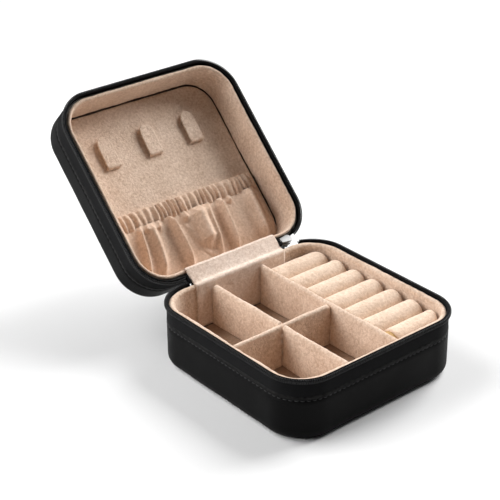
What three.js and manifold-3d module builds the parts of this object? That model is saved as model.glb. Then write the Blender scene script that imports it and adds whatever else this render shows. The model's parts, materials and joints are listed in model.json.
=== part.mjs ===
// A small square jewellery case in black leather with a beige velvet lining, standing open.
// Millimetres, +Z up. The origin is the centre of the base's underside. The hinge is at +Y.
// The lid's pieces are drawn as they lie when the case is shut, and one group swings them open.
import * as THREE from "three";
import { mergeVertices } from "three/addons/utils/BufferGeometryUtils.js";
import Module from "manifold-3d";

const wasm = await Module();
wasm.setup();

// Driving dimensions
const HALF = 50; // half the width and half the depth of the leather
const CORNER = 17.6; // plan radius of the leather's corners
const FILLET = 4.2; // rounding of the bottom edge and of the lid's face edge
const LEATHER = 1; // thickness of the leather
const SHUT_HEIGHT = 53.7; // height of the shut case
const BASE_LEATHER_TOP = 22.5;
const BASE_RIM_TOP = 29.66;
const LID_RIM_BOTTOM = 32.04; // all lid heights are those of the shut lid
const LID_LEATHER_BOTTOM = 39.4;
const BOARD_OUT = 48.7; // half sizes of the stiff board inside the leather
const BOARD_IN = 47.5;
const LINER_OUT = 47.2; // half sizes of the velvet wall inside the board
const LINER_IN = 46;
const BASE_RIM_OUT = 49; // half size of the rolled velvet edge
const LID_RIM_OUT = 48;
const TAPE_OUT = 49.9; // half sizes of the zip's tape and of its row of teeth
const TAPE_IN = 49.3;
const COIL_OUT = 51.3;
const COIL_IN = 50.2;
const PIVOT_Y = 51; // the line the lid turns about
const PIVOT_Z = 31.66;
const OPEN_ANGLE = THREE.MathUtils.degToRad(134.88);
const SPINE_HALF = 27; // half width of the leather spine and of the lining strip over it
const FLOOR_TOP = 7;
const DIVIDER_TOP = 27.8;
const DIVIDER_THICK = 2.6;
const DIVIDER_FRONT = -45.7;
const DIVIDER_BACK = 45; // clear of the lining strip on the back wall
const LAP_Z = 17.5; // the two removable dividers halve over each other at this height
const MIDDLE_X = -17; // the removable divider that runs front to back
const CROSS_Y = -3; // the removable divider that runs side to side
const RING_X = 12; // the fixed wall beside the ring rolls
const ROLL_COUNT = 7;
const ROLL_PITCH = 12.6;
const ROLL_BACK_Y = 38.6; // centre line of the roll nearest the hinge
const ROLL_Z = 20.9;
const ROLL_RADIUS = 6.1;
const ROLL_WALL = 0.8;
const PANEL_FACE = 49.9; // the lid's flat velvet panel
const HOOK_X = [-25, 0, 25];
const HOOK_WIDTH = 8;
const SLIDER_X = 31.8;
const GAP = 0.3;

const materials = {
  leather: { color: 0x17171a, roughness: 0.5, metalness: 0 },
  board: { color: 0x4a4038, roughness: 0.9, metalness: 0 },
  tape: { color: 0x101012, roughness: 0.9, metalness: 0 },
  coil: { color: 0x1a1a1c, roughness: 0.35, metalness: 0 },
  velvet: { color: 0xd9b799, roughness: 0.95, metalness: 0 },
  floor: { color: 0x8a6c57, roughness: 0.95, metalness: 0 },
  foam: { color: 0xc79a5b, roughness: 0.9, metalness: 0 },
  metal: { color: 0xc9c9cb, roughness: 0.25, metalness: 1 },
};

// Solids from three.js shapes, joined and cut by manifold-3d
function solid(geometry) {
  const bare = geometry.index ? geometry.toNonIndexed() : geometry.clone();
  bare.deleteAttribute("normal");
  bare.deleteAttribute("uv");
  const merged = mergeVertices(bare, 1e-4);
  return new wasm.Manifold(
    new wasm.Mesh({
      numProp: 3,
      vertProperties: merged.attributes.position.array,
      triVerts: new Uint32Array(merged.index.array),
    }),
  );
}

function geometryOf(body) {
  const mesh = body.getMesh();
  const geometry = new THREE.BufferGeometry();
  geometry.setAttribute(
    "position",
    new THREE.BufferAttribute(new Float32Array(mesh.vertProperties), 3),
  );
  geometry.setIndex(new THREE.BufferAttribute(new Uint32Array(mesh.triVerts), 1));
  geometry.computeVertexNormals();
  return geometry;
}

function box(low, high) {
  const size = high.map((v, i) => v - low[i]);
  const geometry = new THREE.BoxGeometry(...size);
  geometry.translate(...low.map((v, i) => v + size[i] / 2));
  return solid(geometry);
}

function squarePath(path, half, radius) {
  const flat = half - radius;
  path.moveTo(-flat, -half);
  path.lineTo(flat, -half);
  path.absarc(flat, -flat, radius, -Math.PI / 2, 0);
  path.lineTo(half, flat);
  path.absarc(flat, flat, radius, 0, Math.PI / 2);
  path.lineTo(-flat, half);
  path.absarc(-flat, flat, radius, Math.PI / 2, Math.PI);
  path.lineTo(-half, -flat);
  path.absarc(-flat, -flat, radius, Math.PI, Math.PI * 1.5);
  return path;
}

// The plan radius that keeps a wall concentric with the leather's corner
const radiusAt = (half) => CORNER - HALF + half;

function block(half, low, high, fillet) {
  const shape = squarePath(new THREE.Shape(), half - fillet, radiusAt(half) - fillet);
  const geometry = new THREE.ExtrudeGeometry(shape, {
    depth: high - low - 2 * fillet,
    curveSegments: 4,
    bevelEnabled: fillet > 0,
    bevelThickness: fillet,
    bevelSize: fillet,
    bevelSegments: fillet > 2 ? 5 : 2,
  });
  geometry.translate(0, 0, low + fillet);
  return solid(geometry);
}

function ring(outer, inner, low, high, bevel = 0) {
  const shape = squarePath(new THREE.Shape(), outer - bevel, radiusAt(outer) - bevel);
  shape.holes.push(squarePath(new THREE.Path(), inner + bevel, radiusAt(inner) + bevel));
  const geometry = new THREE.ExtrudeGeometry(shape, {
    depth: high - low - 2 * bevel,
    curveSegments: 4,
    bevelEnabled: bevel > 0,
    bevelThickness: bevel,
    bevelSize: bevel,
    bevelSegments: 2,
  });
  geometry.translate(0, 0, low + bevel);
  return solid(geometry);
}

// A tray with a rounded closed end at `face` and an open end at `edge`
function tray(half, thick, face, edge, fillet, insideFillet) {
  const up = edge > face ? 1 : -1;
  const far = edge + up * 20;
  const outer = block(half, Math.min(face, far), Math.max(face, far), fillet);
  const insideFace = face + up * thick;
  const inside = block(
    half - thick,
    Math.min(insideFace, far),
    Math.max(insideFace, far),
    insideFillet,
  );
  const keep = box(
    [-60, -60, Math.min(face, edge)],
    [60, 60, Math.max(face, edge)],
  );
  return outer.subtract(inside).intersect(keep);
}

// A band of even thickness along points (y, z), as wide as x0 to x1
function ribbon(points, thick, x0, x1) {
  const left = [];
  const right = [];
  for (let i = 0; i < points.length; i++) {
    const before = points[Math.max(i - 1, 0)];
    const after = points[Math.min(i + 1, points.length - 1)];
    const along = after.clone().sub(before).normalize();
    const side = new THREE.Vector2(-along.y, along.x).multiplyScalar(thick / 2);
    left.push(points[i].clone().add(side));
    right.push(points[i].clone().sub(side));
  }
  const shape = new THREE.Shape([...left, ...right.reverse()]);
  const geometry = new THREE.ExtrudeGeometry(shape, {
    depth: x1 - x0,
    bevelEnabled: false,
  });
  const yzx = new THREE.Matrix4().makeBasis(
    new THREE.Vector3(0, 1, 0),
    new THREE.Vector3(0, 0, 1),
    new THREE.Vector3(1, 0, 0),
  );
  geometry.applyMatrix4(yzx);
  geometry.translate(x0, 0, 0);
  return solid(geometry);
}

function smooth(points, count) {
  const curve = new THREE.SplineCurve(points.map((p) => new THREE.Vector2(...p)));
  return curve.getSpacedPoints(count);
}

// Where a point of the shut lid's section (y, z) lies when the lid is open
function opened(y, z) {
  const point = new THREE.Vector2(y - PIVOT_Y, z - PIVOT_Z);
  point.rotateAround(new THREE.Vector2(), -OPEN_ANGLE);
  return [point.x + PIVOT_Y, point.y + PIVOT_Z];
}

// An outline in X and Z with its thickness along Y, from y0 to y1
function upright(shape, y0, y1) {
  const geometry = new THREE.ExtrudeGeometry(shape, {
    depth: y1 - y0,
    curveSegments: 5,
    bevelEnabled: false,
  });
  geometry.rotateX(Math.PI / 2);
  geometry.translate(0, y1, 0);
  return solid(geometry);
}

function mesh(name, material, body) {
  const made = new THREE.Mesh(
    body.isBufferGeometry ? body : geometryOf(body),
    new THREE.MeshStandardMaterial(materials[material]),
  );
  made.name = name;
  return made;
}

const ZIP_GAP_HALF = SPINE_HALF + 1.4; // the zip leaves out the hinge
const spineGap = box([-ZIP_GAP_HALF, 30, -10], [ZIP_GAP_HALF, 60, 70]);
// Room beside the spine for the zip slider to turn with the lid
const sliderRoom = (low, high, nearY) => box([26, nearY, low], [40.2, 60, high]);

// Base
function baseLeather() {
  return tray(HALF, LEATHER, 0, BASE_LEATHER_TOP, FILLET, FILLET - LEATHER);
}

function baseBoard() {
  return tray(BOARD_OUT, BOARD_OUT - BOARD_IN, LEATHER + GAP, 28.4, 2.9, 0.6);
}

function baseTape() {
  return ring(TAPE_OUT, TAPE_IN, BASE_LEATHER_TOP + GAP, 30.4)
    .subtract(spineGap)
    .subtract(sliderRoom(28.3, 40, 40));
}

function baseCoil() {
  return ring(COIL_OUT, COIL_IN, 28.6, 30.6, 0.25)
    .subtract(spineGap)
    .subtract(sliderRoom(0, 60, 30));
}

function baseLiner() {
  const wall = ring(LINER_OUT, LINER_IN, 3.2, BASE_RIM_TOP - 0.3);
  const rim = ring(BASE_RIM_OUT, LINER_IN, 28.7, BASE_RIM_TOP, 0.3);
  return wall.add(rim).subtract(sliderRoom(20, 40, 48.5));
}

function floorPad() {
  return block(LINER_IN - GAP, 2.8, FLOOR_TOP, 0.4);
}

function ringBed() {
  const edge = RING_X + DIVIDER_THICK / 2 + GAP;
  return block(LINER_IN - GAP, FLOOR_TOP + GAP, ROLL_Z - ROLL_RADIUS - GAP, 0).intersect(
    box([edge, -60, 0], [60, DIVIDER_BACK, 60]),
  );
}

// Dividers are boards with a rounded top edge
function dividerBar(length) {
  const half = DIVIDER_THICK / 2;
  const shape = new THREE.Shape();
  shape.moveTo(-half, FLOOR_TOP + GAP);
  shape.lineTo(half, FLOOR_TOP + GAP);
  shape.lineTo(half, DIVIDER_TOP - half);
  shape.absarc(0, DIVIDER_TOP - half, half, 0, Math.PI);
  const geometry = new THREE.ExtrudeGeometry(shape, {
    depth: length,
    curveSegments: 3,
    bevelEnabled: false,
  });
  geometry.rotateX(Math.PI / 2);
  return geometry;
}

function alongY(x, y0, y1) {
  const geometry = dividerBar(y1 - y0);
  geometry.translate(x, y1, 0);
  return solid(geometry);
}

function alongX(y, x0, x1) {
  const geometry = dividerBar(x1 - x0);
  geometry.rotateZ(Math.PI / 2);
  geometry.translate(x0, y, 0);
  return solid(geometry);
}

function ringDivider() {
  return alongY(RING_X, DIVIDER_FRONT, DIVIDER_BACK);
}

function middleDivider() {
  const half = DIVIDER_THICK / 2 + GAP;
  return alongY(MIDDLE_X, DIVIDER_FRONT, DIVIDER_BACK).subtract(
    box([-30, CROSS_Y - half, LAP_Z], [0, CROSS_Y + half, 40]),
  );
}

function crossDivider() {
  const half = DIVIDER_THICK / 2 + GAP;
  const right = RING_X - DIVIDER_THICK / 2 - GAP;
  return alongX(CROSS_Y, DIVIDER_FRONT, right).subtract(
    box([MIDDLE_X - half, -20, 0], [MIDDLE_X + half, 20, LAP_Z + GAP]),
  );
}

// A ring roll is a foam core in a velvet sleeve, open at the wall beside it and domed at the far end.
// The first and last ones are pressed in at their far ends by the corners of the lining.
const ROLL_START = 13.7;
const ROLL_END = 45.2;
const ROLL_DOME = 3.2;

function domedRoll(i, inset, start) {
  const geometry = domed(
    ROLL_RADIUS - inset,
    start,
    ROLL_END - inset,
    ROLL_DOME - inset,
  );
  geometry.translate(0, ROLL_BACK_Y - i * ROLL_PITCH, ROLL_Z);
  return solid(geometry).intersect(block(ROLL_END + 0.1 - inset, 10, 32, 0));
}

function domed(radius, x0, x1, dome) {
  const points = [new THREE.Vector2(0, x0), new THREE.Vector2(radius, x0)];
  for (let i = 0; i <= 5; i++) {
    const a = (i / 5) * (Math.PI / 2);
    points.push(
      new THREE.Vector2(i === 5 ? 0 : radius * Math.cos(a), x1 - dome + dome * Math.sin(a)),
    );
  }
  const geometry = new THREE.LatheGeometry(points, 20);
  geometry.rotateZ(-Math.PI / 2);
  return geometry;
}

const rollCore = (i) => domedRoll(i, ROLL_WALL + GAP, ROLL_START + 0.2);

const rollCover = (i) =>
  domedRoll(i, 0, ROLL_START).subtract(domedRoll(i, ROLL_WALL, ROLL_START - 1));

// Hinge: a velvet strip inside, a leather spine outside, both shown with the lid open
function liningStrip() {
  const points = [
    [45.65, 9.5],
    [45.65, 20],
    [45.65, 29.4],
    [45.95, 30.1],
    [46.7, 30.35],
    [48.9, 30.4],
    opened(47.7, 31.42),
    opened(46.7, 31.4),
    opened(45.95, 31.6),
    opened(45.65, 32.3),
    opened(45.65, 40),
  ].map((p) => new THREE.Vector2(...p));
  return ribbon(points, 0.6, -SPINE_HALF, SPINE_HALF);
}

function leatherSpine() {
  const points = [
    [49.75, BASE_LEATHER_TOP + GAP],
    [49.75, 26],
    [49.78, 28.9],
    [50.3, 30],
    [51.3, 31],
    opened(49.95, 32.2),
    opened(49.75, 34),
    opened(49.75, LID_LEATHER_BOTTOM - GAP),
  ].map((p) => new THREE.Vector2(...p));
  return ribbon(points, 0.8, -SPINE_HALF, SPINE_HALF);
}

// Lid, drawn shut
function lidLeather() {
  return tray(HALF, LEATHER, SHUT_HEIGHT, LID_LEATHER_BOTTOM, FILLET, FILLET - LEATHER);
}

function lidBoard() {
  const face = SHUT_HEIGHT - LEATHER - GAP;
  return tray(BOARD_OUT, BOARD_OUT - BOARD_IN, face, 33.3, 2.9, 0.6).subtract(
    sliderRoom(20, 34.1, 40),
  );
}

function lidTape() {
  return ring(TAPE_OUT, TAPE_IN, 31.3, LID_LEATHER_BOTTOM - GAP)
    .subtract(spineGap)
    .subtract(sliderRoom(20, 34.9, 40));
}

function lidCoil() {
  return ring(COIL_OUT, COIL_IN, 31.1, 33.1, 0.25)
    .subtract(spineGap)
    .subtract(sliderRoom(0, 60, 30));
}

function lidLiner() {
  const wall = ring(LINER_OUT, LINER_IN, LID_RIM_BOTTOM + 0.3, 50.4);
  const rim = ring(LID_RIM_OUT, LINER_IN, LID_RIM_BOTTOM, 33, 0.3);
  return wall.add(rim).subtract(sliderRoom(20, 40, 47.6));
}

function lidPanel() {
  return block(LINER_IN - GAP, PANEL_FACE, 50.9, 0.3);
}

// A necklace hook is a velvet tab that stands off the panel and folds back to it at one end
function necklaceHook(x) {
  const half = HOOK_WIDTH / 2;
  const [tip, fold] = [-32, -15.3];
  const outline = new THREE.Shape();
  outline.moveTo(-half, fold);
  outline.lineTo(-half, tip + half);
  outline.absarc(0, tip + half, half, Math.PI, Math.PI * 2);
  outline.lineTo(half, fold);
  const plate = new THREE.ExtrudeGeometry(outline, {
    depth: 1.3,
    curveSegments: 4,
    bevelEnabled: true,
    bevelThickness: 0.2,
    bevelSize: 0.2,
    bevelOffset: -0.2,
    bevelSegments: 1,
  });
  plate.translate(0, 0, 46.4);
  const foot = box([-half, fold - 1.6, 47], [half, fold, PANEL_FACE - GAP]);
  return solid(plate).add(foot).translate([x, 0, 0]);
}

function pocketElastic() {
  return box([-44.6, 8.3, 46.6], [44.6, 16.6, 47.8]);
}

function pocketCloth() {
  const points = smooth(
    [
      [17.2, 47.1],
      [21, 45.4],
      [29, 43.6],
      [37, 44.4],
      [42, 46.6],
      [43.6, 49],
    ],
    14,
  );
  return ribbon(points, 1, -44, 44).intersect(block(LINER_IN - 0.6, 30, 52, 0));
}

// Zip slider and its ends, drawn about the pivot line as they stand when the case is shut
function shield(halfLong, halfWide) {
  const shape = new THREE.Shape();
  shape.moveTo(-halfLong, -halfWide * 0.62);
  shape.lineTo(halfLong * 0.3, -halfWide);
  shape.absarc(halfLong * 0.3, 0, halfWide, -Math.PI / 2, Math.PI / 2);
  shape.lineTo(-halfLong, halfWide * 0.62);
  return shape;
}

const PULL_BAR_Y = 2.75; // the bar the pull hangs on, out from the pivot line

function zipSlider() {
  const inner = upright(shield(3.4, 2.1), -1.6, -0.85);
  const outer = upright(shield(3.4, 2.1), 0.45, 1.2);
  const post = box([-2.8, -1.2, -0.7], [1.4, 0.8, 0.7]);
  const bar = new THREE.CylinderGeometry(0.45, 0.45, 4, 12);
  bar.rotateX(Math.PI / 2);
  bar.translate(0, PULL_BAR_Y, 0);
  const legs = [-1, 1].map((side) =>
    box(
      [-0.6, 0.9, side * 1.65 - 0.35],
      [0.6, PULL_BAR_Y + 0.5, side * 1.65 + 0.35],
    ),
  );
  return inner.add(outer).add(post).add(solid(bar)).add(legs[0]).add(legs[1]);
}

function zipPull() {
  const outline = new THREE.Shape();
  outline.moveTo(-0.95, 0);
  outline.lineTo(0.95, 0);
  outline.lineTo(0.95, 4);
  outline.lineTo(2.6, 6);
  outline.lineTo(2.6, 15.4);
  outline.absarc(0, 15.4, 2.6, 0, Math.PI);
  outline.lineTo(-2.6, 6);
  outline.lineTo(-0.95, 4);
  const plate = new THREE.ExtrudeGeometry(outline, {
    depth: 0.8,
    curveSegments: 5,
    bevelEnabled: false,
  });
  plate.translate(0, 0, -0.4);
  const zyx = new THREE.Matrix4().makeBasis(
    new THREE.Vector3(0, 0, 1),
    new THREE.Vector3(0, 1, 0),
    new THREE.Vector3(-1, 0, 0),
  );
  plate.applyMatrix4(zyx);
  const tube = new THREE.CylinderGeometry(1.25, 1.25, 1.9, 16);
  tube.rotateX(Math.PI / 2);
  const hole = new THREE.CylinderGeometry(0.72, 0.72, 6, 16);
  hole.rotateX(Math.PI / 2);
  return solid(plate)
    .add(solid(tube))
    .subtract(solid(hole))
    .translate([0, PULL_BAR_Y, 0]);
}

function zipEnd(side) {
  const near = side * (SPINE_HALF + 0.3);
  const far = side * (SPINE_HALF + 1.1);
  return box([Math.min(near, far), -1.4, -1.9], [Math.max(near, far), 1, 1.9]);
}

// Assembly
const jewelleryCase = new THREE.Group();

jewelleryCase.add(
  mesh("base_leather_cover", "leather", baseLeather()),
  mesh("base_shell_board", "board", baseBoard()),
  mesh("base_zip_tape", "tape", baseTape()),
  mesh("base_zip_coil", "coil", baseCoil()),
  mesh("base_liner_wall", "velvet", baseLiner()),
  mesh("base_floor_pad", "floor", floorPad()),
  mesh("ring_bed", "foam", ringBed()),
  mesh("ring_divider", "velvet", ringDivider()),
  mesh("middle_divider", "velvet", middleDivider()),
  mesh("cross_divider", "velvet", crossDivider()),
  mesh("hinge_lining_strip", "velvet", liningStrip()),
  mesh("hinge_leather_spine", "leather", leatherSpine()),
);

for (let i = 0; i < ROLL_COUNT; i++) {
  jewelleryCase.add(
    mesh(`ring_roll_cover_${i + 1}`, "velvet", rollCover(i)),
    mesh(`ring_roll_core_${i + 1}`, "foam", rollCore(i)),
  );
}

const lid = new THREE.Group();
lid.add(
  mesh("lid_leather_cover", "leather", lidLeather()),
  mesh("lid_shell_board", "board", lidBoard()),
  mesh("lid_zip_tape", "tape", lidTape()),
  mesh("lid_zip_coil", "coil", lidCoil()),
  mesh("lid_liner_wall", "velvet", lidLiner()),
  mesh("lid_panel", "velvet", lidPanel()),
  mesh("pocket_elastic", "velvet", pocketElastic()),
  mesh("pocket_cloth", "velvet", pocketCloth()),
);
HOOK_X.forEach((x, i) =>
  lid.add(mesh(`necklace_hook_${i + 1}`, "velvet", necklaceHook(x))),
);
lid.children.forEach((piece) => piece.position.set(0, -PIVOT_Y, -PIVOT_Z));
lid.position.set(0, PIVOT_Y, PIVOT_Z);
lid.rotation.x = -OPEN_ANGLE;
jewelleryCase.add(lid);

const zip = new THREE.Group();
const slider = mesh("zip_slider", "metal", zipSlider());
const pull = mesh("zip_pull", "metal", zipPull());
slider.position.x = SLIDER_X;
pull.position.x = SLIDER_X;
zip.add(
  slider,
  pull,
  mesh("zip_end_right", "tape", zipEnd(1)),
  mesh("zip_end_left", "tape", zipEnd(-1)),
);
zip.position.set(0, PIVOT_Y, PIVOT_Z);
zip.rotation.x = -OPEN_ANGLE / 2;
jewelleryCase.add(zip);

export default jewelleryCase;
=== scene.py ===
import json
import math
import random

import bmesh
import bpy
from mathutils import Matrix, Vector, noise


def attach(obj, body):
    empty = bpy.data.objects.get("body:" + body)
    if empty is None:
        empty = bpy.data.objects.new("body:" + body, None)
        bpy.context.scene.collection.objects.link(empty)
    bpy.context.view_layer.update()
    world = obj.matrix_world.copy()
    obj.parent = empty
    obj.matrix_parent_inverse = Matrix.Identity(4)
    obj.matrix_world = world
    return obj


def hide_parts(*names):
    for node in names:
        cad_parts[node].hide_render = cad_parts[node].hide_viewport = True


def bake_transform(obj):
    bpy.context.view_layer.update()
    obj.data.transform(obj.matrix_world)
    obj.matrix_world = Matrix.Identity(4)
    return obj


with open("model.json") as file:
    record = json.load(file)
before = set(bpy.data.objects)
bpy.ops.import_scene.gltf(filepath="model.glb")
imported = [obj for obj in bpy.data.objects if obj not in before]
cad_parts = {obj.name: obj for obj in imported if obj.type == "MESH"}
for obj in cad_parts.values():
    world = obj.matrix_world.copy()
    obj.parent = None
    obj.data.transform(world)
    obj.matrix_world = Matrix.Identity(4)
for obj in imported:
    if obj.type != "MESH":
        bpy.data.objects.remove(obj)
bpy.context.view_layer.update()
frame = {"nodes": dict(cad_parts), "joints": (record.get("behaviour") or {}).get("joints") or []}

MM = 0.001
TAU = 2 * math.pi

# ---- The frame: the hinge, and the sizes that everything else is worked out from ----
joints = {joint["name"]: joint for joint in frame["joints"]}
PIVOT = Vector(joints["lid_hinge"]["pos_m"])
OPEN_ANGLE = math.radians(-joints["lid_hinge"]["range_deg"][0])


def turned(angle):
    """The matrix that turns a piece open about the hinge line."""
    spin = Matrix.Rotation(-angle, 4, "X")
    return Matrix.Translation(PIVOT) @ spin @ Matrix.Translation(-PIVOT)


BASE = Matrix.Identity(4)
LID = turned(OPEN_ANGLE)
ZIP = turned(OPEN_ANGLE / 2)


def drawn_box(node, place=BASE):
    """Lowest and highest corners of a CAD node in millimetres, where it was drawn."""
    back = place.inverted()
    points = [back @ v.co for v in frame["nodes"][node].data.vertices]
    low = Vector([min(p[i] for p in points) for i in range(3)]) / MM
    high = Vector([max(p[i] for p in points) for i in range(3)]) / MM
    return low, high


_, base_leather_high = drawn_box("base_leather_cover")
lid_leather_low, lid_leather_high = drawn_box("lid_leather_cover", LID)
_, base_rim_high = drawn_box("base_liner_wall")
lid_rim_low, lid_rim_high = drawn_box("lid_liner_wall", LID)
_, tape_high = drawn_box("base_zip_tape")
base_coil_low, base_coil_high = drawn_box("base_zip_coil")
lid_coil_low, lid_coil_high = drawn_box("lid_zip_coil", LID)
_, floor_high = drawn_box("base_floor_pad")
panel_low, panel_high = drawn_box("lid_panel", LID)
_, strip_high = drawn_box("hinge_lining_strip")
slider_low, _ = drawn_box("zip_slider", ZIP)

HALF = base_leather_high.x  # half the side of the case
CORNER = 0.352 * HALF  # radius of the corners, seen from above
FLAT = HALF - CORNER
FILLET = 4.2  # radius between the walls and the two closed faces
LINER_IN = 46.0  # half the room between the lined walls
BASE_WALL_FOOT, LID_WALL_FOOT = 6.4, 50.4  # heights where the lined walls meet the floor and the panel
SPINE_HALF = strip_high.x
PIVOT_Y = PIVOT.y / MM
PIVOT_Z = PIVOT.z / MM

SIDE = 2 * FLAT
ARC = CORNER * math.pi / 2
AROUND = 4 * (SIDE + ARC)  # length of the outline
ZIP_GAP = SPINE_HALF + 1.4  # the teeth start this far from the middle of the back
SLIDER_REACH = 38.2  # beside the hinge the zip's edge is kept low for the slider to turn over
TAPE_IN, COIL_IN = 49.3, 49.75  # inner faces of the zip's tape and of its teeth
COIL_OVERHANG = 0.24  # how far the teeth stand towards the other half
TAPE_LOW = 5.3  # how far the low part of the tape stands above the leather
SEAM_INSET = 2.3  # from the leather's edge to its line of stitches


# ---- Mesh helpers ----
def around(s):
    """Skeleton point and outward direction at length s round the outline, from the back's middle."""
    s = (s + SIDE / 2) % AROUND
    quarter = int(s // (SIDE + ARC))
    left = s - quarter * (SIDE + ARC)
    heading = math.pi / 2 * (quarter + 1)
    along = min(left, SIDE) - SIDE / 2
    x = math.cos(heading) * FLAT - math.sin(heading) * along
    y = math.sin(heading) * FLAT + math.cos(heading) * along
    if left > SIDE:
        heading += (left - SIDE) / ARC * math.pi / 2
    return x, y, math.cos(heading), math.sin(heading)


INNERMOST = 44.0  # inside this half size, rings shrink to the centre instead of keeping their corners


def outline_point(s, half, z):
    x, y, nx, ny = around(s)
    reach = max(half, INNERMOST) - FLAT
    shrink = min(half / INNERMOST, 1.0)
    return Vector(((x + nx * reach) * shrink, (y + ny * reach) * shrink, z))


def add_object(name, data):
    """A new object with that mesh, camera or lamp."""
    made = bpy.data.objects.new(name, data)
    bpy.context.scene.collection.objects.link(made)
    return made


def add_smooth(name, mesh):
    """A new object with that mesh, smooth shaded."""
    mesh.polygons.foreach_set("use_smooth", [True] * len(mesh.polygons))
    return add_object(name, mesh)


def grid(name, rows, wrap_rows=False, wrap_columns=False, wear_and_highlight=None, lengths=None):
    """A surface through rows of points in millimetres, with a UV map in millimetres."""
    count, width = len(rows), len(rows[0])
    points = [p * MM for row in rows for p in row]
    faces = []
    corners = []
    for i in range(count if wrap_rows else count - 1):
        for j in range(width if wrap_columns else width - 1):
            i2, j2 = i + 1, j + 1
            faces.append((
                i * width + j,
                i2 % count * width + j,
                i2 % count * width + j2 % width,
                i * width + j2 % width,
            ))
            corners += [(i, j), (i2, j), (i2, j2), (i, j2)]
    mesh = bpy.data.meshes.new(name)
    mesh.from_pydata(points, [], faces)
    uv = mesh.uv_layers.new(name="UVMap")
    step_rows = lengths[0] if lengths else 1.0
    step_columns = lengths[1] if lengths else 1.0
    flat = [value for i, j in corners for value in (i * step_rows, j * step_columns)]
    uv.data.foreach_set("uv", flat)
    if wear_and_highlight:
        layer = mesh.attributes.new("wear_and_highlight", "FLOAT", "POINT")
        layer.data.foreach_set("value", [wear_and_highlight[j] for _ in range(count) for j in range(width)])
    return add_smooth(name, mesh)


def tidy(made):
    """Merges doubled points and makes the faces point out."""
    work = bmesh.new()
    work.from_mesh(made.data)
    bmesh.ops.remove_doubles(work, verts=work.verts, dist=1e-6)
    bmesh.ops.dissolve_degenerate(work, edges=work.edges, dist=1e-7)
    bmesh.ops.recalc_face_normals(work, faces=work.faces)
    work.to_mesh(made.data)
    work.free()
    return made


def band(name, section, spacing=1.3, gap=0.0, closed=False):
    """A section of (half size, height, edge paleness from rubbing and painted highlight) carried round
    the case, leaving out gap at the back.
    """
    start, end = gap, AROUND - gap
    steps = int((end - start) / spacing)
    places = [start + (end - start) * i / steps for i in range(steps + (1 if gap else 0))]
    shape = section if callable(section) else lambda s: section
    rows = [[outline_point(s, p[0], p[1]) for p in shape(s)] for s in places]
    wear_and_highlight = [p[2] if len(p) > 2 else 0.0 for p in shape(start)]
    made = grid(name, rows, wrap_rows=not gap, wrap_columns=closed, wear_and_highlight=wear_and_highlight, lengths=(spacing, 1.0))
    return tidy(made)


def arc(centre, radius, first, last, steps, wear_and_highlight=0.0):
    """Points (half, height, edge paleness from rubbing and painted highlight) on a circle or ellipse,
    angles in degrees.
    """
    rx, rz = radius if isinstance(radius, tuple) else (radius, radius)
    points = []
    for i in range(steps + 1):
        a = math.radians(first + (last - first) * i / steps)
        points.append((centre[0] + rx * math.cos(a), centre[1] + rz * math.sin(a), wear_and_highlight))
    return points


def line(first, last, steps, wear_and_highlight=0.0):
    """Evenly spaced points (half, height, edge paleness from rubbing and painted highlight) between two
    points, without the last.
    """
    return [
        (
            first[0] + (last[0] - first[0]) * i / steps,
            first[1] + (last[1] - first[1]) * i / steps,
            wear_and_highlight,
        )
        for i in range(steps)
    ]


def roughen(made, amount, size, seed=0.0):
    """Pushes points along their normals by smooth noise; amount and size in millimetres."""
    mesh = made.data
    offset = Vector((seed, seed * 1.7, -seed))
    moved = []
    for vertex in mesh.vertices:
        lift = noise.noise(vertex.co / (size * MM) + offset)
        moved.append(vertex.co + vertex.normal * lift * amount * MM)
    for vertex, place in zip(mesh.vertices, moved):
        vertex.co = place
    mesh.update()
    return made


def smooth_path(points, count):
    """Points along a Catmull-Rom curve through the given points."""
    ends = [points[0] * 2 - points[1]] + list(points) + [points[-1] * 2 - points[-2]]
    result = []
    for k in range(count):
        place = k / (count - 1) * (len(points) - 1)
        i = min(int(place), len(points) - 2)
        t = place - i
        a, b, c, d = ends[i:i + 4]
        result.append(
            (b * 2 + (c - a) * t + (a * 2 - b * 5 + c * 4 - d) * t * t
             + (b * 3 - a - c * 3 + d) * t * t * t) / 2
        )
    return result


def cap_ends(made, count, width):
    """Closes both ends of a tube made by grid."""
    work = bmesh.new()
    work.from_mesh(made.data)
    work.verts.ensure_lookup_table()
    work.faces.new([work.verts[j] for j in range(width)])
    work.faces.new([work.verts[(count - 1) * width + j] for j in reversed(range(width))])
    for face in work.faces:
        face.smooth = True
    work.to_mesh(made.data)
    work.free()


def bar(name, rows):
    """A bar through closed rings of points, closed at both ends."""
    made = grid(name, rows, wrap_columns=True)
    cap_ends(made, len(rows), len(rows[0]))
    return tidy(made)


def heading(path, k):
    """The direction of a path at its point k."""
    return (path[min(k + 1, len(path) - 1)] - path[max(k - 1, 0)]).normalized()


def tube(name, path, radius, ring=10, beside=(1, 0, 0), instead=(0, 0, 1)):
    """A round bar along a path. Its rings start square to beside, or to instead where they line up."""
    beside, instead = Vector(beside), Vector(instead)
    rows = []
    for k, point in enumerate(path):
        ahead = heading(path, k)
        side = ahead.cross(beside if abs(ahead.dot(beside)) < 0.9 else instead).normalized()
        other = ahead.cross(side)
        rows.append([
            point + (side * math.cos(TAU * j / ring) + other * math.sin(TAU * j / ring)) * radius
            for j in range(ring)
        ])
    return bar(name, rows)


def sausage(name, path, across, width, thick, columns=24, sharp=6):
    """A closed flat bar along a path: width and thick are functions of 0 to 1 along it."""
    rows = []
    for k, point in enumerate(path):
        t = k / (len(path) - 1)
        normal = heading(path, k).cross(across).normalized()
        half_width, half_thick = width(t) / 2, thick(t) / 2
        row = []
        for j in range(columns * 2):
            side = 1 if j < columns else -1
            u = (j % columns) / columns * 2 - 1
            u = u * side
            rise = (1 - abs(u) ** sharp) ** (1 / sharp)
            row.append(point + across * half_width * u + normal * half_thick * rise * side)
        rows.append(row)
    return bar(name, rows)


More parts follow.
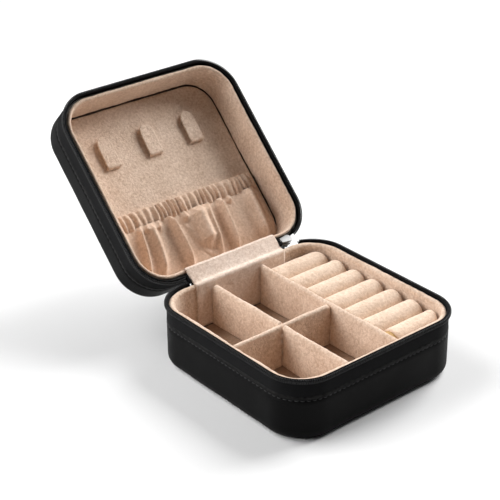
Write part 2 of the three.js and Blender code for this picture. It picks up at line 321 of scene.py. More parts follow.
def join(name, parts):
    """One object from several."""
    bpy.ops.object.select_all(action="DESELECT")
    for part in parts:
        part.select_set(True)
    bpy.context.view_layer.objects.active = parts[0]
    bpy.ops.object.join()
    parts[0].name = name
    return parts[0]


def finish_piece(made, place, body, paint, nodes, blend=None):
    """Turns a drawn piece into place, gives it its material, attaches it to its body (or, given blend,
    leaves it in place without one) and hides the nodes it replaces.
    """
    made.data.transform(place)
    made.data.materials.clear()
    made.data.materials.append(paint)
    if blend:
        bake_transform(made)
    else:
        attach(made, body)
    if nodes:
        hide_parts(*nodes)
    return made


# ---- Materials ----
class Paint:
    """A node material: add() makes a node, and sockets are given by name or number."""

    def __init__(self, name):
        self.material = bpy.data.materials.new(name)
        self.material.use_nodes = True
        self.tree = self.material.node_tree
        self.shader = self.tree.nodes["Principled BSDF"]

    def put(self, socket, value):
        if isinstance(value, bpy.types.NodeSocket):
            self.tree.links.new(value, socket)
        else:
            socket.default_value = value

    def add(self, kind, inputs=(), output=0, **settings):
        node = self.tree.nodes.new(kind)
        for key, value in settings.items():
            setattr(node, key, value)
        for key, value in dict(inputs).items():
            self.put(node.inputs[key], value)
        return node.outputs[output]

    def place(self, scale=1.0, uv=False):
        """Coordinates in millimetres times scale."""
        source = self.add("ShaderNodeTexCoord", output=2 if uv else 3)
        size = scale if uv else scale / MM
        return self.add("ShaderNodeVectorMath", {0: source, 3: size}, operation="SCALE")

    def noise(self, scale, detail=2.0, rough=0.5, warp=0.0, uv=False):
        inputs = {"Vector": self.place(scale, uv), "Scale": 1.0, "Detail": detail,
                  "Roughness": rough, "Distortion": warp}
        return self.add("ShaderNodeTexNoise", inputs)

    def wave(self, scale, direction, uv=False, warp=0.0):
        inputs = {"Vector": self.place(1.0, uv), "Scale": scale, "Distortion": warp}
        return self.add("ShaderNodeTexWave", inputs, bands_direction=direction)

    def ramp(self, value, low, high, first=0.0, last=1.0):
        inputs = {0: value, 1: low, 2: high, 3: first, 4: last}
        return self.add("ShaderNodeMapRange", inputs)

    def mix(self, factor, first, last):
        inputs = {0: factor, 6: first, 7: last}
        return self.add("ShaderNodeMix", inputs, output=2, data_type="RGBA")

    def math(self, operation, first, last=0.0):
        return self.add("ShaderNodeMath", {0: first, 1: last}, operation=operation)

    def bump(self, height, distance, strength=1.0, under=None):
        inputs = {"Height": height, "Distance": distance * MM, "Strength": strength}
        if under:
            inputs["Normal"] = under
        return self.add("ShaderNodeBump", inputs)

    def finish(self, **inputs):
        for key, value in inputs.items():
            self.put(self.shader.inputs[key.replace("_", " ")], value)
        return self.material


def color(red, green, blue):
    return (red, green, blue, 1.0)


def grey(value):
    return color(value, value, value)


def velvet(name, dark, light, mottle=0.36):
    """Short-pile velvet: worm-like marks where the pile leans, fine fibres and a pale sheen."""
    paint = Paint(name)
    marks = paint.noise(0.8, detail=2.5, rough=0.6, warp=0.5)
    drift = paint.noise(0.09, detail=2.0)
    fibres = paint.noise(2.4, detail=2.0, rough=0.6)
    leaning = paint.ramp(marks, 0.34, 0.66, 0.08, 0.68)
    tone = paint.math("ADD", leaning, paint.ramp(drift, 0.3, 0.7, 0.0, 0.26))
    flecked = paint.math("ADD", tone, paint.ramp(fibres, 0.25, 0.75, -0.2, 0.2))
    surface = paint.bump(marks, mottle)
    surface = paint.bump(fibres, 0.1, under=surface)
    return paint.finish(
        Base_Color=paint.mix(flecked, dark, light), Roughness=0.92, Normal=surface,
        Sheen_Weight=0.35, Sheen_Roughness=0.4, Sheen_Tint=color(1.0, 0.93, 0.86),
        Specular_IOR_Level=0.12,
    )


def leather():
    """Black coated leather: small pebbled grain, satin, paler at the edges, partly from rubbing and
    partly a painted highlight along the fold.
    """
    paint = Paint("black_leather")
    cells = paint.add(
        "ShaderNodeTexVoronoi",
        {"Vector": paint.place(1.5), "Scale": 1.0, "Randomness": 0.9},
        feature="DISTANCE_TO_EDGE",
    )
    grain = paint.ramp(cells, 0.0, 0.25)
    pores = paint.noise(4.0, detail=3.0)
    broad = paint.noise(0.06, detail=3.0)
    # Edges paler by this attribute: partly from rubbing, partly a painted highlight along the folded
    # edge.
    wear_and_highlight = paint.add("ShaderNodeAttribute", output=2, attribute_name="wear_and_highlight")
    rubbed_and_highlit = paint.math("MULTIPLY", wear_and_highlight, paint.ramp(paint.noise(0.5, detail=4.0), 0.35, 0.65))
    tint = paint.mix(broad, color(0.0015, 0.0015, 0.0016), color(0.0032, 0.0031, 0.0032))
    tint = paint.mix(rubbed_and_highlit, tint, color(0.02, 0.0195, 0.019))
    uneven = paint.ramp(broad, 0.3, 0.7, -0.05, 0.05)
    gloss = paint.math("ADD", paint.ramp(pores, 0.2, 0.8, 0.4, 0.56), uneven)
    surface = paint.bump(grain, 0.035, strength=0.8)
    surface = paint.bump(pores, 0.012, under=surface)
    return paint.finish(Base_Color=tint, Roughness=gloss, Normal=surface, Specular_IOR_Level=0.065)


def thread():
    """Black sewing thread with its twist."""
    paint = Paint("thread")
    twist = paint.wave(2.2, "DIAGONAL", warp=0.5)
    return paint.finish(
        Base_Color=paint.mix(twist, color(0.006, 0.006, 0.007), color(0.022, 0.022, 0.023)),
        Roughness=0.55, Normal=paint.bump(twist, 0.03),
    )


def tape():
    """Woven zip tape: fine ribs along it crossed by the weft."""
    paint = Paint("zip_tape")
    weave = paint.math("MULTIPLY", paint.wave(0.75, "X", uv=True), paint.wave(0.8, "Z"))
    fuzz = paint.noise(3.0, detail=3.0)
    tint = paint.mix(fuzz, color(0.0025, 0.0025, 0.003), color(0.007, 0.007, 0.0075))
    surface = paint.bump(weave, 0.06)
    return paint.finish(
        Base_Color=tint, Roughness=0.85, Normal=paint.bump(fuzz, 0.02, under=surface),
        Sheen_Weight=0.03, Specular_IOR_Level=0.08,
    )


def coil():
    """The zip's moulded nylon filament."""
    paint = Paint("zip_coil")
    dust = paint.noise(1.2, detail=3.0)
    return paint.finish(
        Base_Color=paint.mix(dust, color(0.004, 0.004, 0.0045), color(0.009, 0.009, 0.01)),
        Roughness=paint.ramp(dust, 0.3, 0.7, 0.24, 0.38), Specular_IOR_Level=0.35,
        Normal=paint.bump(dust, 0.01),
    )


def nickel():
    """Satin nickel plate with fine rubbing."""
    paint = Paint("nickel")
    rub = paint.add(
        "ShaderNodeTexNoise",
        {"Vector": paint.place(1.0), "Scale": 6.0, "Detail": 4.0, "Roughness": 0.7},
    )
    broad = paint.noise(0.5, detail=2.0)
    return paint.finish(
        Base_Color=paint.mix(broad, grey(0.18), color(0.24, 0.238, 0.235)),
        Metallic=1.0, Roughness=paint.ramp(rub, 0.3, 0.7, 0.42, 0.55),
        Normal=paint.bump(rub, 0.006),
    )


def foam():
    """Open-cell foam with small pores."""
    paint = Paint("foam")
    pores = paint.add(
        "ShaderNodeTexVoronoi", {"Vector": paint.place(2.6), "Scale": 1.0}, feature="F1",
    )
    cut = paint.noise(0.8, detail=3.0)
    tint = paint.mix(paint.ramp(pores, 0.1, 0.7), color(0.72, 0.5, 0.26), color(0.5, 0.3, 0.12))
    surface = paint.bump(pores, 0.12)
    return paint.finish(
        Base_Color=tint, Roughness=0.95, Normal=paint.bump(cut, 0.1, under=surface),
        Specular_IOR_Level=0.1,
    )


def board():
    """Grey pressed board, hidden inside the walls."""
    paint = Paint("shell_board")
    pulp = paint.noise(1.5, detail=5.0, rough=0.7)
    return paint.finish(
        Base_Color=paint.mix(pulp, color(0.05, 0.045, 0.04), color(0.12, 0.105, 0.09)),
        Roughness=0.95, Normal=paint.bump(pulp, 0.05),
    )


VELVET = velvet("beige_velvet", color(0.52, 0.355, 0.25), color(0.84, 0.67, 0.54))
# A lighter copy of the beige velvet for the lid's panel and hooks: painted light, brighter than the lamps
# make it there.
LID_VELVET_PAINTED_LIGHT = velvet("lid_velvet_painted_light", color(0.60, 0.42, 0.30), color(0.93, 0.755, 0.62))
# A lighter copy of the beige velvet for the hinge strip, with a shallower pile bump: its lighter tone is
# painted light.
STRIP_VELVET_PAINTED_LIGHT = velvet("strip_velvet_painted_light", color(0.62, 0.46, 0.36), color(0.9, 0.76, 0.66), mottle=0.15)
# A lighter copy of the beige velvet for the rolls: painted light, the rolls' brightness set in their
# colour.
ROLL_VELVET_PAINTED_LIGHT = velvet("roll_velvet_painted_light", color(0.60, 0.43, 0.31), color(0.87, 0.69, 0.55), mottle=0.3)
# A darker copy of the beige velvet for the compartment floors and the bed under the rolls: painted shade.
FLOOR_VELVET_PAINTED_SHADE = velvet("floor_velvet_painted_shade", color(0.33, 0.22, 0.15), color(0.48, 0.34, 0.25), mottle=0.2)
# A lighter copy of the beige velvet for the pocket and its casing: painted light, the pocket's brightness
# set in its colour.
POCKET_CLOTH_PAINTED_LIGHT = velvet("pocket_cloth", color(0.58, 0.395, 0.275), color(0.86, 0.66, 0.525), mottle=0.1)
LEATHER_PAINT = leather()
THREAD = thread()
TAPE = tape()
COIL = coil()
NICKEL = nickel()
FOAM = foam()
BOARD = board()


# ---- Leather ----
# The leather's rim, past the side: how far out of the side, how far below the edge, how much paler it is
# painted (partly rubbing, partly a painted highlight along the fold).
RIM = [
    (0.04, 2.8, 0.1), (-0.22, 2.45, 0.0), (-0.26, 2.15, 0.0), (0.02, 1.8, 0.2),
    (0.12, 1.2, 0.5), (0.08, 0.5, 0.9), (-0.1, 0.12, 1.0), (-0.4, 0.0, 1.0),
    (-0.7, 0.15, 0.7), (-0.85, 0.6, 0.2), (-0.9, 2.4, 0.0),
]


def leather_section(face, edge, crown):
    """Outside of a leather tray from the middle of its closed face to its folded edge and in."""
    out = 1 if edge > face else -1
    depth = abs(edge - face)
    side_end = depth - 2.9
    points = []
    flat_end = HALF - FILLET
    for k in range(24):
        half = flat_end * k / 24
        points.append((half, -crown * (1 - (half / flat_end) ** 2), 0.0))
    points += arc((flat_end, FILLET), FILLET, -90, 0, 12, wear_and_highlight=0.1)
    points += line((HALF, FILLET + 0.6), (HALF + 0.06, side_end), 8)
    points += [(HALF + past, depth - below, wear_and_highlight) for past, below, wear_and_highlight in RIM]
    return [(half, face + out * t, wear_and_highlight) for half, t, wear_and_highlight in points]


def stitch_loop(name, height, pitch=2.6, long=1.85, radius=0.2):
    """Even stitches sunk in the seam groove, one short thread each."""
    count = round(AROUND / pitch)
    verts = []
    faces = []
    ring, steps = 6, 5
    for k in range(count):
        first = len(verts)
        for i in range(steps):
            t = i / (steps - 1)
            s = AROUND * k / count + (t - 0.5) * long
            dive = 0.28 * (2 * t - 1) ** 2
            centre = outline_point(s, HALF - 0.06 - dive, height)
            _, _, nx, ny = around(s)
            size = radius * (0.55 if i in (0, steps - 1) else 1.0)
            for j in range(ring):
                a = TAU * j / ring
                outward, upward = size * math.cos(a), size * math.sin(a)
                verts.append((centre + Vector((nx * outward, ny * outward, upward))) * MM)
        for i in range(steps - 1):
            for j in range(ring):
                a, b = first + i * ring, first + (i + 1) * ring
                faces.append((a + j, b + j, b + (j + 1) % ring, a + (j + 1) % ring))
        faces.append(tuple(first + j for j in range(ring)))
        faces.append(tuple(first + (steps - 1) * ring + j for j in reversed(range(ring))))
    mesh = bpy.data.meshes.new(name)
    mesh.from_pydata(verts, [], faces)
    return tidy(add_smooth(name, mesh))


def leather_cover(body, place, face, edge, crown):
    """One half's leather with its stitches."""
    cover = band(f"{body}_cover", leather_section(face, edge, crown), spacing=1.2)
    roughen(cover, 0.16, 14.0, seed=3.0)
    roughen(cover, 0.04, 4.0, seed=8.0)
    for vertex in cover.data.vertices:  # nothing below the floor
        vertex.co.z = max(vertex.co.z, 0.0)
    finish_piece(cover, place, body, LEATHER_PAINT, [f"{body}_leather_cover"])
    inward = 1 if face > edge else -1
    stitches = stitch_loop(f"{body}_stitches", edge + inward * SEAM_INSET)
    finish_piece(stitches, place, body, THREAD, [])


leather_cover("base", BASE, 0.0, base_leather_high.z, crown=0.0)
leather_cover("lid", LID, lid_leather_high.z, lid_leather_low.z, crown=0.7)


# ---- Zip ----
def tape_section(edge, teeth, inside):
    """The tape stands up behind the leather's edge and ends under the teeth."""
    up = 1 if teeth > edge else -1

    def section(s):
        low_part = s > AROUND - SLIDER_REACH or s < ZIP_GAP
        top = edge + up * TAPE_LOW if low_part else teeth + up * 0.2
        outer = tape_high.x
        bead = (outer + inside - 0.35) / 2
        return [
            (outer - 0.08, edge - up * 1.6),
            (outer, edge - up * 0.6),
            *[(outer, edge + (top - up * 0.9 - edge) * k / 6) for k in range(7)],
            *[(bead + 0.45 * math.cos(a), top - up * 0.45 + up * 0.45 * math.sin(a))
              for a in [math.pi * k / 8 for k in range(9)]],
            (inside, top - up * 1.1),
            (inside, edge - up * 1.6),
        ]

    return section


def coil_loop(name, low, high, half_low, half_high):
    """The row of teeth: one filament wound along the zip, a loop to each tooth."""
    pitch, radius = 0.95, 0.26
    samples = 14
    start, end = ZIP_GAP, AROUND - SLIDER_REACH - 0.2
    turns = round((end - start) / pitch)
    middle_half, middle = (half_low + half_high) / 2, (low + high) / 2
    reach_half = (half_high - half_low) / 2 - radius * 0.7
    reach = (high - low) / 2 - radius
    path = []
    for k in range(turns * samples + 1):
        a = TAU * k / samples
        s = start + (end - start) * k / (turns * samples)
        squarish = abs(math.sin(a)) ** 0.6 * (1 if math.sin(a) > 0 else -1)
        path.append(outline_point(s, middle_half + reach_half * math.cos(a), middle + reach * squarish))
    return tube(name, path, radius, ring=6, beside=(0, 0, 1), instead=(1, 0, 0))


def zip_half(body, place, leather_edge, coil_low, coil_high):
    """One half of the zip: its tape and its row of teeth."""
    low, high = coil_low.z, coil_high.z
    teeth = high if body == "base" else low
    section = tape_section(leather_edge, teeth, TAPE_IN)
    strip = band(f"{body}_tape", section, gap=SPINE_HALF + 0.2, closed=True)
    finish_piece(strip, place, body, TAPE, [f"{body}_zip_tape"])
    if body == "base":
        high += COIL_OVERHANG
    else:
        low -= COIL_OVERHANG
    teeth_row = coil_loop(f"{body}_teeth", low, high, COIL_IN, coil_high.x - 0.45)
    finish_piece(teeth_row, place, body, COIL, [f"{body}_zip_coil"])


zip_half("base", BASE, base_leather_high.z, base_coil_low, base_coil_high)
zip_half("lid", LID, lid_leather_low.z, lid_coil_low, lid_coil_high)


# ---- Velvet walls with their rolled edges ----
def liner_section(rim, out, up, wall_end):
    """Rolled edge from its outer foot over the top, then the wall down to its foot."""
    middle = (out + LINER_IN) / 2
    across = (out - LINER_IN) / 2
    tall = 1.35
    points = [(out - 0.5, rim - up * 2.1, 0)]
    points += [
        (half, rim - up * tall + up * height, 0)
        for half, height, _ in arc((middle, 0), (across, tall), 0, 180, 14)
    ]
    wall_start = rim - up * (tall + 0.6)
    steps = max(int(abs(wall_end - wall_start) / 1.1), 4)
    points += line((LINER_IN, wall_start), (LINER_IN, wall_end + up * 1.4), steps)
    points += [(LINER_IN, wall_end + up * 1.4, 0), (LINER_IN + 0.25, wall_end + up * 0.9, 0)]
    points += [(LINER_IN + 0.4, wall_end + up * 0.4, 0), (LINER_IN + 0.5, wall_end, 0)]
    return points


def liner(body, place, rim, out, up, wall_end):
    """A velvet wall with its rolled edge, the whole way round."""
    wall = band(f"{body}_lining", liner_section(rim, out, up, wall_end), spacing=1.1)
    roughen(wall, 0.22, 3.2, seed=5.0)
    roughen(wall, 0.3, 17.0, seed=1.0)
    return finish_piece(wall, place, body, VELVET, [f"{body}_liner_wall"])


liner("base", BASE, base_rim_high.z, base_rim_high.x, 1, BASE_WALL_FOOT)
liner("lid", LID, lid_rim_low.z, lid_rim_high.x, -1, LID_WALL_FOOT)


def flat_pad(name, half, height, toward):
    """A flat lined board that fills the inside, with a rounded edge."""
    points = [(half * k / 40, height, 0) for k in range(40)]
    points += [
        (half - 0.45, height, 0),
        (half - 0.12, height - toward * 0.12, 0),
        (half, height - toward * 0.5, 0),
        (half, height - toward * 1.2, 0),
    ]
    return band(name, points, spacing=1.6)


floor_pad = flat_pad("compartment_floor", floor_high.x, floor_high.z, 1)
roughen(floor_pad, 0.1, 4.0, seed=2.0)
finish_piece(floor_pad, BASE, "base", FLOOR_VELVET_PAINTED_SHADE, ["base_floor_pad"])

panel = flat_pad("lid_face_panel", panel_high.x - 0.2, panel_low.z, -1)
roughen(panel, 0.16, 6.0, seed=6.0)
roughen(panel, 0.3, 30.0, seed=9.0)
finish_piece(panel, LID, "lid", LID_VELVET_PAINTED_LIGHT, ["lid_panel"])


# ---- Dividers ----
SLOT_PLAY = 0.3  # room on each side where the two boards halve over one another
ROW_SPACING = 0.8


def unevenness(place):
    """How far a board's padded face stands out at a place, in millimetres."""
    return 0.16 * noise.noise(place / 2.6) + 0.3 * noise.noise(place / 16.0)


def board_section(half, low, start, crest):
    """Section of a board on edge: up one side, over a top rounded from start to crest, and down."""
    steps = 14
    foot = low + 0.3
    rise = (start - foot) / steps
    points = [(-half, low + 0.1), (half, low + 0.1)]
    points += [(half, foot + rise * k) for k in range(steps)]
    for k in range(9):
        a = math.pi * k / 8
        points.append((half * math.cos(a), start + (crest - start) * math.sin(a)))
    return points + [(-half, start - rise * k) for k in range(1, steps + 1)]


def divider(name, along_x, fixed, first, last, foot, top, thick, slot=None, corner=1.6):
    """A padded board on edge with a rounded top and, if corner isn't 0, rounded top corners.

    slot is (from, to, low, high): between from and to, the board only spans low to high.
    """
    stops = []
    for k in range(int((last - first) / ROW_SPACING) + 1):
        place = first + ROW_SPACING * k
        if not slot or not slot[0] - ROW_SPACING / 2 < place < slot[1] + ROW_SPACING / 2:
            stops.append((place, foot, top))
    stops.append((last, foot, top))
    if slot:
        low, high = slot[2] or foot, slot[3] or top
        stops += [(slot[0], foot, top), (slot[0] + 0.01, low, high)]
        stops += [(slot[1] - 0.01, low, high), (slot[1], foot, top)]
    stops.sort()
    half = thick / 2
    rows = []
    for place, low, high in stops:
        edge = min(place - first, last - place)
        fall = 0.0
        if high == top and edge < corner:
            fall = corner - math.sqrt(max(corner ** 2 - (corner - edge) ** 2, 0.0))
        crest = high - fall
        start = max(crest - half, low + 0.2)
        section = board_section(half, low, start, crest)
        row = []
        for u, z in section:
            out = unevenness(Vector((place, fixed + u, z)))
            u, z = u + u / half * out, z + out * max((z - start) / (crest - start), 0.0)
            row.append(Vector((place, fixed - u, z) if along_x else (fixed + u, place, z)))
        rows.append(row)
    return bar(name, rows)


def add_dividers():
    """The fixed wall beside the rolls, and the two boards halved over one another."""
    low, high = drawn_box("ring_divider")
    thick = high.x - low.x
    wall = divider(
        "ring_wall", False, (low.x + high.x) / 2, low.y, high.y, low.z, high.z, thick, corner=0.0,
    )
    finish_piece(wall, BASE, "base", VELVET, ["ring_divider"])

    low, high = drawn_box("middle_divider")
    cross_low, cross_high = drawn_box("cross_divider")
    lap = (low.z + high.z) / 2
    middle = divider(
        "middle_board", False, (low.x + high.x) / 2, low.y, high.y, low.z, high.z, thick,
        slot=(cross_low.y - SLOT_PLAY, cross_high.y + SLOT_PLAY, None, lap),
    )
    finish_piece(middle, BASE, "middle_board", VELVET, ["middle_divider"])

    cross = divider(
        "cross_board", True, (cross_low.y + cross_high.y) / 2, cross_low.x, cross_high.x,
        cross_low.z, cross_high.z, thick,
        slot=(low.x - SLOT_PLAY, high.x + SLOT_PLAY, lap + SLOT_PLAY, None),
    )
    finish_piece(cross, BASE, "cross_board", VELVET, ["cross_divider"])


add_dividers()


# ---- Ring rolls ----
ROLLS = 7
SLEEVE = 0.9  # the velvet sleeve over the foam core
COVER_END, CORE_END = 45.4, 44.3
COVER_CLEARANCE, CORE_CLEARANCE = 0.6, 1.7  # what a roll's end keeps from the lined wall
BARE_CORE = 3.0  # how much of the front roll's core shows at its cut end


def wall_reach(y, clearance):
    """How far right a roll can go at y before it meets the lining, which is round at the corners."""
    corner = LINER_IN - clearance - FLAT
    past = max(abs(y) - FLAT, 0.0)
    return FLAT + math.sqrt(max(corner ** 2 - past ** 2, 0.01))


def roll(name, centre_y, centre_z, radius, first, last, clearance, dents=0.03):
    """A round padded roll along X: its left end is cut, its right end is blunt and fits the wall."""
    rows = []
    steps, columns = 52, 56
    dome = 3.0
    squeeze = 8.0  # the last stretch is squeezed to end at the wall
    for k in range(steps + 1):
        t = k / steps
        x = first + (last - first) * (1 - (1 - t) ** 1.35)
        inset = max(x - (last - dome), 0.0) / dome
        size = radius * max(1 - inset ** 2.6, 0.0) ** 0.42
        lip = 0.35 * math.exp(-(x - first) / 0.5)
        row = []
        for j in range(columns):
            a = TAU * j / columns
            swell = 0.985 + 0.015 * math.sin(math.pi * t)
            spot = Vector((x * 0.09, math.cos(a) * 1.2 + centre_y, math.sin(a) * 1.2))
            sag = 1 + dents * noise.noise(spot)
            reach = max(size * swell * sag - lip, 0.001)
            y = centre_y + reach * math.cos(a)
            limit = wall_reach(y, clearance)
            past = max(x - last + squeeze, 0.0)
            squeezed = x + past * (limit - last) / squeeze
            row.append(Vector((min(x, squeezed), y, centre_z + reach * math.sin(a))))
        rows.append(row)
    return roughen(bar(name, rows), 0.1, 2.2, seed=centre_y)


def add_rolls():
    """Each roll is a velvet sleeve on a foam core; the front roll's core shows at its cut end."""
    for number in range(1, ROLLS + 1):
        low, high = drawn_box(f"ring_roll_cover_{number}")
        centre_y, centre_z = (low.y + high.y) / 2, (low.z + high.z) / 2
        radius = (high.z - low.z) / 2
        start = low.x + (BARE_CORE if number == ROLLS else 0.0)
        cover = roll(f"ring_roll_{number}", centre_y, centre_z, radius, start, COVER_END, COVER_CLEARANCE)
        finish_piece(cover, BASE, "base", ROLL_VELVET_PAINTED_LIGHT, [f"ring_roll_cover_{number}"])
        core = roll(
            f"roll_foam_{number}", centre_y, centre_z, radius - SLEEVE, low.x, CORE_END, CORE_CLEARANCE,
        )
        finish_piece(core, BASE, "base", FOAM, [f"ring_roll_core_{number}"])


add_rolls()


# ---- Hinge: lining strip inside, leather spine outside ----
HINGE_THICK = 0.6


def across_hinge(points):
    """Points (y, z, in the lid or not) of the shut case, as vectors in the open case."""
    result = []
    for y, z, in_lid in points:
        place = Vector((0, y, z))
        result.append(LID @ (place * MM) / MM if in_lid else place)
    return result


def hinge_band(name, points, half_width, thick, crease):
    """A strip over the hinge, with slight creases in it."""
    path = smooth_path(across_hinge(points), 90)
    columns = 70
    rows = []
    for k, point in enumerate(path):
        normal = heading(path, k).cross(Vector((1, 0, 0))).normalized()
        row = []
        for side in (1, -1):
            for j in range(columns + 1):
                u = (j / columns * 2 - 1) * side
                edge = (1 - abs(u) ** 40) ** 0.5
                ripple = crease * noise.noise(Vector((u * 5, k * 0.03, 2.0)))
                x = u * (half_width - 0.12 * abs(math.sin(k * 0.35)))
                lift = thick / 2 * edge * side + ripple
                row.append(point + Vector((x, 0, 0)) + normal * lift)
        rows.append(row)
    return bar(name, rows)


# Where the strip and the spine start to leave the base, and where they are fully the lid's.
HINGE_START = (0.0, 0.0482, 0.0302)
HINGE_END = (0.0, 0.0532, 0.0342)
SPINE_START = (0.0, 0.0499, 0.0300)
SPINE_END = (0.0, 0.0532, 0.0300)


def add_hinge():
    """The velvet strip inside and the leather spine outside, both bent from the base to the lid."""
    strip = hinge_band(
        "hinge_lining",
        [
            (45.65, 7.6, False), (45.65, 15, False), (45.65, 22, False), (45.65, 27.5, False),
            (45.8, 29.6, False), (46.7, 30.3, False), (48.9, 30.5, False),
            (47.7, 31.35, True), (46.6, 31.4, True), (45.8, 32.2, True),
            (45.65, 35, True), (45.65, 40, True),
        ],
        SPINE_HALF, HINGE_THICK, 0.12,
    )
    roughen(strip, 0.14, 2.6, seed=4.0)
    finish_piece(strip, BASE, "base", STRIP_VELVET_PAINTED_LIGHT, ["hinge_lining_strip"],
                 blend=(HINGE_START, HINGE_END))
    spine = hinge_band(
        "hinge_spine",
        [
            (49.65, base_leather_high.z - 1.2, False), (49.65, 26, False), (49.68, 28.9, False),
            (50.2, 30, False), (51.2, 31, False),
            (49.85, 32.2, True), (49.65, 34, True), (49.65, lid_leather_low.z + 1.2, True),
        ],
        SPINE_HALF, HINGE_THICK, 0.1,
    )
    finish_piece(spine, BASE, "base", LEATHER_PAINT, ["hinge_leather_spine"],
                 blend=(SPINE_START, SPINE_END))


add_hinge()


# ---- Lid: necklace hooks ----
def hook(index):
    """A velvet tab with a round free end, folded back to the panel at its other end."""
    low, high = drawn_box(f"necklace_hook_{index}", LID)
    middle = (low.x + high.x) / 2
    half = (high.x - low.x) / 2
    tip, fold = low.y, high.y - 0.6
    side_view = [
        (tip, 1.95), (tip + 4, 1.9), (tip + 10, 1.7), (fold - 2.0, 1.5), (fold - 0.5, 1.5), (fold, 0.9),
        (fold, 0.0),
    ]  # how far along the panel, how far off it
    path = smooth_path([Vector((middle, y, high.z - off)) for y, off in side_view], 120)
    length = fold - tip + 2.0
    seam = length - 3.4

    def width(t):
        gone = t * length
        if gone >= half:
            return 2 * half
        return 2 * math.sqrt(max(half ** 2 - (half - gone) ** 2, 0.3))

    def thick(t):
        gone = t * length
        groove = 0.6 * math.exp(-((gone - seam) / 0.25) ** 2)
        return 1.0 * (1 - groove) * min(1.0, 0.35 + t * 9) ** 0.5

    made = sausage(f"hook_{index}", path, Vector((1, 0, 0)), width, thick, columns=30, sharp=7)
    roughen(made, 0.1, 2.0, seed=index * 2.0)
    finish_piece(made, LID, "lid", LID_VELVET_PAINTED_LIGHT, [f"necklace_hook_{index}"])


for number in (1, 2, 3):
    hook(number)


# ---- Lid: gathered pocket ----
elastic_low, elastic_high = drawn_box("pocket_elastic", LID)
POCKET_HALF = 44.6
CLOTH_HALF = POCKET_HALF - 0.4
PANEL_FACE = 50.0
MOUTH, SEAM, FOOT = elastic_low.y, elastic_high.y, 44.3
FACE = elastic_low.z  # the pocket's face is towards the opening, where shut heights are lowest


def crease_places():
    """Where the elastic's short pleats meet: tight ones in groups, with a few wide ones between."""
    dice = random.Random(11)
    places = [(-POCKET_HALF - 1.0, 0.0)]
    while places[-1][0] < POCKET_HALF + 1.0:
        step = dice.uniform(3.4, 4.6) if dice.random() < 0.28 else dice.uniform(1.8, 2.8)
        places.append((places[-1][0] + step, dice.uniform(-0.1, 0.1)))
    return places


PLEAT_CREASES = crease_places()


def pleats(x, y):
    """How far the gathered cloth stands up: ridges between creases, 0 to about 1."""
    wavy = x + 0.45 * noise.noise(Vector((x * 0.2, y * 0.25, 4.2)))
    for k in range(len(PLEAT_CREASES) - 1):
        left = PLEAT_CREASES[k][0] + PLEAT_CREASES[k][1] * (y - SEAM)
        right = PLEAT_CREASES[k + 1][0] + PLEAT_CREASES[k + 1][1] * (y - SEAM)
        if left <= wavy < right:
            u = (wavy - left) / (right - left) * 2 - 1
            tall = 0.75 + 0.6 * noise.noise(Vector((k * 3.1, y * 0.06, 2.0)))
            return tall * (0.5 + 0.5 * math.cos(math.pi * u)) ** 0.8
    return 0.0


def seam_depth(x):
    """Depth of the cloth at the seam below the elastic, towards the panel."""
    side = min((POCKET_HALF - abs(x)) / 5.0, 1.0) ** 0.5
    return FACE + 2.7 - (1.35 + 1.15 * pleats(x, SEAM)) * side


def casing():
    """The elastic's casing: a flat tube of cloth drawn up into short pleats."""
    rows = []
    for i in range(36):
        v = i / 35
        y = MOUTH + (SEAM + 0.5 - MOUTH) * v
        belly = 0.9 * math.sin(math.pi * v) ** 0.6
        grip = 0.55 + 0.35 * math.sin(math.pi * v)
        row = []
        for j in range(421):
            x = (j / 420 * 2 - 1) * POCKET_HALF
            ruffle = 0.5 * noise.noise(Vector((x * 0.55, 3.0, 0))) * (1 - v) ** 3
            side = min((POCKET_HALF - abs(x)) / 5.0, 1.0) ** 0.5
            z = FACE + 2.7 - (1.35 + belly + 2.1 * grip * pleats(x, y)) * side
            row.append(Vector((x, y + ruffle, z)))
        rows.append(row)
    behind = [
        [Vector((p.x, p.y + shift, FACE + 3.0)) for p in row]
        for row, shift in ((rows[0], 0.5), (rows[-1], -0.4))
    ]
    made = grid("pocket_casing", [behind[0]] + rows + [behind[1]])
    return roughen(made, 0.12, 1.6, seed=2.5)


POCKET_SECTION = [
    Vector((y, depth, 0)) for y, depth in (
        (SEAM - 0.3, 47.6), (18.6, 47.2), (22, 46.8), (29, 46.6), (36, 47.0), (41.5, 48.2), (FOOT, 49.5),
    )
]

# Ridges that the pocket's cloth is first folded into: x at the seam, x at the foot, what share of the
# way down it ends, how tall and how wide it is. The cloth then settles from there.
RIDGES = [
    (-38.5, -42.0, 1.0, 3.4, 1.5), (-29.5, -39.0, 1.0, 4.2, 1.6),
    (-26.0, -27.0, 0.3, 2.6, 1.2), (-19.0, -20.5, 0.35, 3.0, 1.4),
    (-23.5, -29.5, 1.0, 4.2, 2.4), (-12.5, -11.7, 1.0, 5.4, 1.7),
    (-3.5, -6.0, 0.35, 3.0, 1.5), (5.0, 2.5, 0.72, 6.4, 4.4),
    (11.5, 6.5, 1.0, 3.6, 1.5), (18.5, 15.8, 1.0, 5.2, 1.7),
    (24.5, 24.0, 0.3, 3.0, 1.5), (36.8, 33.8, 1.0, 4.6, 3.0),
]
RIDGE_FADE = 0.12  # the share of the way down over which a short ridge fades
CLOTH_ROWS, CLOTH_COLUMNS = 56, 170
SETTLE_FRAMES = 30
CLOTH_GAP = 0.004  # metres that the enlarged cloth keeps from the panel while it settles
CLOTH_PULL = (0, 3.0, 0.5)  # the pull on it: down the pocket, and a little out of it
CLOTH = {
    "quality": 7, "mass": 0.25,
    "tension_stiffness": 30, "compression_stiffness": 30, "shear_stiffness": 12, "bending_stiffness": 1.2,
    "tension_damping": 12, "compression_damping": 12, "shear_damping": 8, "air_damping": 4,
}
FULLNESS, SLACK = 1.42, 1.16  # how much wider and deeper the cloth is cut than its place
